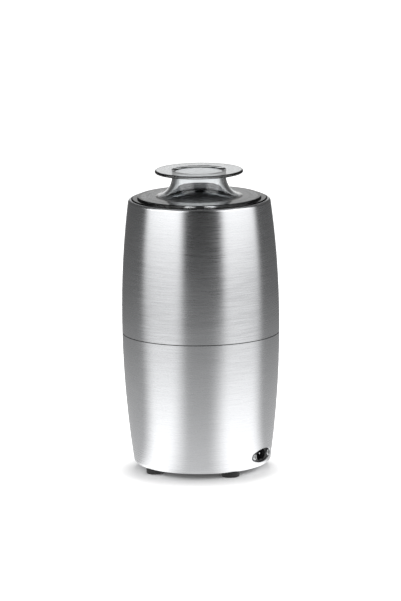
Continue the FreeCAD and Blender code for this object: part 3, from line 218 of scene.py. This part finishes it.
def turned_metal(name, dark, light, ring_mm, rough):
    """Metal turned or spun on a lathe. Fine rings run round its axis and draw its shine into
    spokes across them."""
    made, tree, shader = finish(name, {
        "Metallic": 1.0,
        "Roughness": rough,
        "Anisotropic": 0.5,
        "Anisotropic Rotation": 0.25,
    })
    place = add(tree, "ShaderNodeTexCoord")
    parts = add(tree, "ShaderNodeSeparateXYZ", inputs={"Vector": place.outputs["Object"]})
    flat = add(tree, "ShaderNodeCombineXYZ", inputs={0: parts.outputs["X"], 1: parts.outputs["Y"]})
    reach = add(tree, "ShaderNodeVectorMath", {"operation": "LENGTH"}, {0: flat.outputs["Vector"]})
    across = add(tree, "ShaderNodeCombineXYZ", inputs={0: reach.outputs["Value"], 2: parts.outputs["Z"]})
    rings = add(tree, "ShaderNodeTexNoise", inputs={
        "Vector": across.outputs["Vector"],
        "Scale": 1 / (ring_mm * MM),
        "Detail": 1.0,
    })
    tone = blend_colours(tree, rings.outputs["Fac"], dark, light)
    gloss = vary(tree, rings.outputs["Fac"], rough - 0.05, rough + 0.05)
    around = add(tree, "ShaderNodeTangent", {"direction_type": "RADIAL", "axis": "Z"})
    tree.links.new(tone.outputs[2], shader.inputs["Base Color"])
    tree.links.new(gloss.outputs["Result"], shader.inputs["Roughness"])
    tree.links.new(around.outputs["Tangent"], shader.inputs["Tangent"])
    return made


def lined(name, dark, light, pitch_mm, direction, rough, depth_mm):
    """Metal built up of thin sheets or wires, with a dark line between one and the next."""
    made, tree, shader = finish(name, {"Metallic": 1.0, "Roughness": rough})
    place = add(tree, "ShaderNodeTexCoord")
    # A band pattern repeats every pi / 10 of its scaled length.
    lines = add(tree, "ShaderNodeTexWave", {"bands_direction": direction}, {
        "Vector": place.outputs["Object"],
        "Scale": math.pi / (10 * pitch_mm * MM),
        "Distortion": 0.6,
        "Detail": 1.0,
    })
    stains = speckle(tree, 6.0, 2.0)
    tone = blend_colours(tree, stains.outputs["Fac"], dark, light)
    edge = add(tree, "ShaderNodeMapRange", inputs={
        "Value": lines.outputs["Fac"],
        "From Min": 0.0,
        "From Max": 0.35,
        "To Min": 0.45,
        "To Max": 1.0,
    })
    lit = add(tree, "ShaderNodeMix", {"data_type": "RGBA", "blend_type": "MULTIPLY"}, {
        0: 1.0,
        6: tone.outputs[2],
        7: edge.outputs["Result"],
    })
    relief = add(tree, "ShaderNodeBump", inputs={
        "Height": lines.outputs["Fac"],
        "Distance": depth_mm * MM,
        "Strength": 0.7,
    })
    tree.links.new(lit.outputs[2], shader.inputs["Base Color"])
    tree.links.new(relief.outputs["Normal"], shader.inputs["Normal"])
    return made


def circuit_laminate():
    """Glass-fibre laminate under green solder resist, whose weave shows faintly through the gloss."""
    made, tree, shader = finish("glass-fibre laminate", {"Roughness": 0.3, "Coat Weight": 0.4})
    place = add(tree, "ShaderNodeTexCoord")
    # The glass threads are 0.5 mm wide, over and under.
    weave = add(tree, "ShaderNodeTexChecker", inputs={
        "Vector": place.outputs["Object"],
        "Color1": colour("#1D5831"),
        "Color2": colour("#236139"),
        "Scale": 1 / (0.5 * MM),
    })
    tracks = speckle(tree, 2.5, 0.0, (1.0, 1.0, 6.0))
    over = vary(tree, tracks.outputs["Fac"], -1.0, 1.5)
    tone = add(tree, "ShaderNodeMix", {"data_type": "RGBA", "clamp_factor": True}, {
        0: over.outputs["Result"],
        6: weave.outputs["Color"],
        7: colour("#3C7D4B"),
    })
    tree.links.new(tone.outputs[2], shader.inputs["Base Color"])
    return made


def clear_lid_plastic():
    """Clear acrylic, injection moulded and polished.
    It gives glassy edges and bright rims, with faint hairline wear that only dulls the shine."""
    made, tree, shader = finish("clear moulded acrylic", {
        "Base Color": colour("#F7F9FA"),
        "Roughness": 0.03,
        "IOR": 1.49,
        "Transmission Weight": 1.0,
    })
    wear = speckle(tree, 9.0, 4.0)
    dull = vary(tree, wear.outputs["Fac"], 0.015, 0.05)
    tree.links.new(dull.outputs["Result"], shader.inputs["Roughness"])
    return made


def dress(frame):
    """Give every CAD node its finish."""
    finishes = {
        "shell_steel": brushed_shell_steel(),
        "bowl_steel": turned_metal("spun stainless steel", "#C4C5C7", "#D2D3D5", 0.8, 0.2),
        "blade_steel": grained("ground stainless steel", "#BDBEC0", "#CDCED0", 0.5, 0.01, 0.28, 1.0),
        "clear_plastic": clear_lid_plastic(),
        "black_plastic": grained("spark-grained black ABS", "#141415", "#1E1E20", 0.5, 0.03, 0.42,
                                 extra={"IOR": 1.53}),
        "gloss_black_plastic": grained("polished black ABS", "#070708", "#0B0B0C", 2.0, 0.002, 0.1),
        "black_rubber": grained("black silicone rubber", "#101011", "#191919", 0.7, 0.02, 0.7),
        "coupling_plastic": grained("glass-filled nylon", "#26272A", "#333438", 0.8, 0.03, 0.5),
        "zinc_steel": grained("zinc-plated steel", "#AEB0B2", "#C4C5C4", 1.0, 0.01, 0.3, 1.0),
        "spring_steel": grained("drawn spring wire", "#94969A", "#A9ABAE", 0.6, 0.01, 0.3, 1.0),
        "bearing_steel": turned_metal("ground bearing steel", "#C4C6C9", "#D0D2D4", 0.4, 0.18),
        "bush_bronze": turned_metal("sintered bronze", "#8F6A3C", "#A87E4A", 0.4, 0.4),
        # Motor sheets are 0.5 mm thick, and the windings are of 0.6 mm wire.
        "lamination_steel": lined("stacked electrical steel", "#6A6C70", "#85878B", 0.5, "Z", 0.45, 0.05),
        "copper": lined("enamelled copper", "#A4562E", "#C87242", 0.6, "DIAGONAL", 0.3, 0.15),
        "holder_brass": grained("stamped brass", "#B6924E", "#C8A45C", 0.8, 0.01, 0.3, 1.0),
        "carbon": grained("pressed carbon", "#1B1B1C", "#2A2A2B", 0.3, 0.02, 0.6),
        "cast_aluminium": grained("die-cast aluminium", "#A9ABAD", "#BDBFC0", 0.6, 0.03, 0.42, 1.0),
        "board_laminate": circuit_laminate(),
        "capacitor_case": grained("moulded yellow polyester", "#C9A227", "#D8B23A", 0.8, 0.01, 0.35),
        "white_plastic": grained("off-white moulded nylon", "#D9D8D2", "#E3E2DD", 0.8, 0.01, 0.4),
        "switch_case": grained("black thermoset moulding", "#17171A", "#212125", 0.6, 0.01, 0.45),
        "lead_insulation": grained("blue vinyl insulation", "#22407F", "#2B4B8E", 1.0, 0.01, 0.35),
    }
    for part in frame["record"]["subparts"]:
        node = frame["nodes"][part["node"]]
        node.data.materials.clear()
        node.data.materials.append(finishes[part["material_slot"]])


def plain_light(tree, strength):
    """How strongly a stage surface shines towards the camera and into metal and glass."""
    path = add(tree, "ShaderNodeLightPath")
    seen = add(tree, "ShaderNodeMath", {"operation": "ADD", "use_clamp": True}, {
        0: path.outputs["Is Camera Ray"],
        1: path.outputs["Is Glossy Ray"],
    })
    seen = add(tree, "ShaderNodeMath", {"operation": "ADD", "use_clamp": True}, {
        0: seen.outputs["Value"],
        1: path.outputs["Is Transmission Ray"],
    })
    return add(tree, "ShaderNodeMath", {"operation": "MULTIPLY"}, {
        0: seen.outputs["Value"],
        1: strength,
    })


def stage_material(name):
    """Start a stage surface's material with an empty tree."""
    made = bpy.data.materials.new(name)
    made.use_nodes = True
    made.node_tree.nodes.clear()
    return made, made.node_tree


def way_to(turn_deg, lift_deg):
    """The direction from the object to a lamp or the camera."""
    turn = math.radians(turn_deg)
    lift = math.radians(lift_deg)
    return Vector((math.cos(turn) * math.cos(lift), math.sin(turn) * math.cos(lift), math.sin(lift)))


def mesh_object(name, mesh):
    """Turn a finished bmesh into an object at the origin."""
    data = bpy.data.meshes.new(name)
    mesh.to_mesh(data)
    mesh.free()
    made = bpy.data.objects.new(name, data)
    bpy.context.scene.collection.objects.link(made)
    return made


def lay_floor():
    """White paper whose own glow brings it up to white away from the object. It keeps the lamps' shadow
    beside the object, and its glow is cut down there too, which paints more shadow.
    """
    mesh = bmesh.new()
    bmesh.ops.create_grid(mesh, x_segments=1, y_segments=1, size=FLOOR_HALF_WIDTH)
    floor = mesh_object("floor", mesh)
    made, tree = stage_material("white paper sweep")
    paper = add(tree, "ShaderNodeBsdfDiffuse", inputs={"Color": (PAPER_GREY, PAPER_GREY, PAPER_GREY, 1.0)})
    glow = plain_light(tree, 1.0)
    place = add(tree, "ShaderNodeTexCoord")
    reach = add(tree, "ShaderNodeVectorMath", {"operation": "LENGTH"}, {0: place.outputs["Object"]})
    # Painted shadow: the paper's glow is low near the object's axis and rises outward, so the floor round
    # the base is darker.
    painted_shadow_glow = add(tree, "ShaderNodeMapRange", {"interpolation_type": "SMOOTHSTEP"}, {
        "Value": reach.outputs["Value"],
        "From Min": PAINTED_SHADOW_RADII[0],
        "From Max": PAINTED_SHADOW_RADII[1],
        "To Min": PAINTED_SHADOW_GLOW_LEVELS[0],
        "To Max": PAINTED_SHADOW_GLOW_LEVELS[1],
    })
    level = add(tree, "ShaderNodeMath", {"operation": "MULTIPLY"}, {
        0: glow.outputs["Value"],
        1: painted_shadow_glow.outputs["Result"],
    })
    shine = add(tree, "ShaderNodeEmission", inputs={"Strength": level.outputs["Value"]})
    both = add(tree, "ShaderNodeAddShader", inputs={0: paper.outputs["BSDF"], 1: shine.outputs["Emission"]})
    add(tree, "ShaderNodeOutputMaterial", inputs={"Surface": both.outputs["Shader"]})
    floor.data.materials.append(made)


def by_length(tree, along, degrees):
    """An angle on the studio card that goes from one value to another with the length on it."""
    return add(tree, "ShaderNodeMapRange", inputs={
        "Value": along.outputs["Value"],
        "From Min": EDGE_LENGTHS[0],
        "From Max": EDGE_LENGTHS[1],
        "To Min": math.radians(degrees[0]),
        "To Max": math.radians(degrees[1]),
    })


def stand_cards():
    """The studio that metal and glass mirror, as the panels of one card."""
    mesh = bmesh.new()
    corners = []
    for reach, level in ((CARD_NEAR, 0.0), (CARD_REACH, 0.0), (CARD_REACH, CARD_LENGTH - CARD_REACH)):
        corners.append(mesh.verts.new((reach, 0.0, level + CARD_LIFT)))
    sides = [mesh.edges.new(corners[0:2]), mesh.edges.new(corners[1:3])]
    bmesh.ops.spin(mesh, geom=corners + sides, cent=(0, 0, 0), axis=(0, 0, 1),
                   angle=math.radians(360), steps=STAGE_STEPS, use_merge=True)
    card = mesh_object("studio card", mesh)
    made, tree = stage_material("studio card")
    place = add(tree, "ShaderNodeTexCoord")
    faced = add(tree, "ShaderNodeMapping", inputs={
        "Vector": place.outputs["Object"],
        "Rotation": (0.0, 0.0, -math.radians(CAMERA_DEG)),
    })
    parts = add(tree, "ShaderNodeSeparateXYZ", inputs={"Vector": faced.outputs["Vector"]})
    flat = add(tree, "ShaderNodeCombineXYZ", inputs={0: parts.outputs["X"], 1: parts.outputs["Y"]})
    reach = add(tree, "ShaderNodeVectorMath", {"operation": "LENGTH"}, {0: flat.outputs["Vector"]})
    along = add(tree, "ShaderNodeMath", {"operation": "ADD"}, {
        0: reach.outputs["Value"],
        1: parts.outputs["Z"],
    })
    share = add(tree, "ShaderNodeMath", {"operation": "DIVIDE"}, {0: along.outputs["Value"], 1: CARD_LENGTH})
    turn = add(tree, "ShaderNodeMath", {"operation": "ARCTAN2"}, {
        0: parts.outputs["Y"],
        1: parts.outputs["X"],
    })
    fade = by_length(tree, along, EDGE_FADES)
    mixed = (0.0, 0.0, 0.0, 1.0)
    for name, left, right, greys in PANELS:
        stops = [(length / CARD_LENGTH, grey / CARD_STRENGTH) for length, grey in greys]
        level = add(tree, "ShaderNodeValToRGB", {"label": name}, {"Fac": share.outputs["Value"]}, stops)
        inside = 1.0
        for sign, edge in ((1.0, left), (-1.0, right)):
            past = add(tree, "ShaderNodeMath", {"operation": "SUBTRACT"}, {
                0: turn.outputs["Value"],
                1: by_length(tree, along, edge).outputs["Result"],
            })
            depth = add(tree, "ShaderNodeMath", {"operation": "DIVIDE"}, {
                0: past.outputs["Value"],
                1: fade.outputs["Result"],
            })
            here = add(tree, "ShaderNodeMapRange", {"interpolation_type": "SMOOTHSTEP"}, {
                "Value": depth.outputs["Value"],
                "From Min": -sign,
                "From Max": sign,
            })
            inside = add(tree, "ShaderNodeMath", {"operation": "MULTIPLY"}, {
                0: inside,
                1: here.outputs["Result"],
            }).outputs["Value"]
        mixed = add(tree, "ShaderNodeMix", {"data_type": "RGBA"}, {
            0: inside,
            6: mixed,
            7: level.outputs["Color"],
        }).outputs[2]
    shine = add(tree, "ShaderNodeEmission", inputs={"Color": mixed, "Strength": CARD_STRENGTH})
    add(tree, "ShaderNodeOutputMaterial", inputs={"Surface": shine.outputs["Emission"]})
    card.data.materials.append(made)
    hide_stage(card)
    hang_ceiling()


def hide_stage(card):
    """Leave a card to the rays that metal and glass send out."""
    card.visible_camera = False
    card.visible_diffuse = False
    card.visible_shadow = False
    card.visible_volume_scatter = False


def hang_ceiling():
    """A level round card above the object that only metal and glass see."""
    mesh = bmesh.new()
    bmesh.ops.create_circle(mesh, cap_ends=True, segments=CEILING_STEPS, radius=CARD_REACH,
                            matrix=Matrix.Translation((0.0, 0.0, CARD_LENGTH - CARD_REACH)))
    card = mesh_object("dark ceiling card", mesh)
    made, tree = stage_material("dark ceiling card")
    shine = add(tree, "ShaderNodeEmission", inputs={"Strength": CEILING_GREY})
    add(tree, "ShaderNodeOutputMaterial", inputs={"Surface": shine.outputs["Emission"]})
    card.data.materials.append(made)
    hide_stage(card)


def light_the_room():
    """Even light from the room, which looks white, and two softboxes that throw the shadow."""
    world = bpy.data.worlds.new("white room")
    bpy.context.scene.world = world
    world.use_nodes = True
    tree = world.node_tree
    seen = plain_light(tree, 1.0 - ROOM_LIGHT)
    level = add(tree, "ShaderNodeMath", {"operation": "ADD"}, {0: seen.outputs["Value"], 1: ROOM_LIGHT})
    tree.nodes["Background"].inputs["Color"].default_value = (1.0, 1.0, 1.0, 1.0)
    tree.links.new(level.outputs["Value"], tree.nodes["Background"].inputs["Strength"])
    for name, turn_deg, lift_deg, distance, size, power in LAMPS:
        lamp = bpy.data.lights.new(name, "AREA")
        lamp.energy = power
        lamp.shape = "SQUARE"
        lamp.size = size
        made = bpy.data.objects.new(name, lamp)
        # Metal and glass mirror the studio card instead.
        made.visible_glossy = False
        made.visible_transmission = False
        way = way_to(CAMERA_DEG + turn_deg, lift_deg)
        made.location = Vector(LAMP_AIM) + way * distance
        made.rotation_euler = (-way).to_track_quat("-Z", "Y").to_euler()
        bpy.context.scene.collection.objects.link(made)


def place_camera():
    """Stand where the photograph was taken: behind the inlet's left, a little above the lid."""
    data = bpy.data.cameras.new("camera")
    data.sensor_width = SENSOR_MM
    data.lens = LENS_MM
    camera = bpy.data.objects.new("camera", data)
    way = way_to(CAMERA_DEG, CAMERA_LIFT_DEG)
    camera.location = Vector(CAMERA_TARGET) + way * CAMERA_DISTANCE
    look = (-way).to_track_quat("-Z", "Y").to_matrix().to_4x4()
    roll = Matrix.Rotation(math.radians(CAMERA_ROLL_DEG), 4, "Z")
    camera.matrix_world = Matrix.Translation(camera.location) @ look @ roll
    bpy.context.scene.collection.objects.link(camera)
    bpy.context.scene.camera = camera


def main():
    scene = bpy.context.scene
    scene.view_settings.view_transform = "Standard"
    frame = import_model()
    dress(frame)
    lay_floor()
    light_the_room()
    stand_cards()
    place_camera()


main()
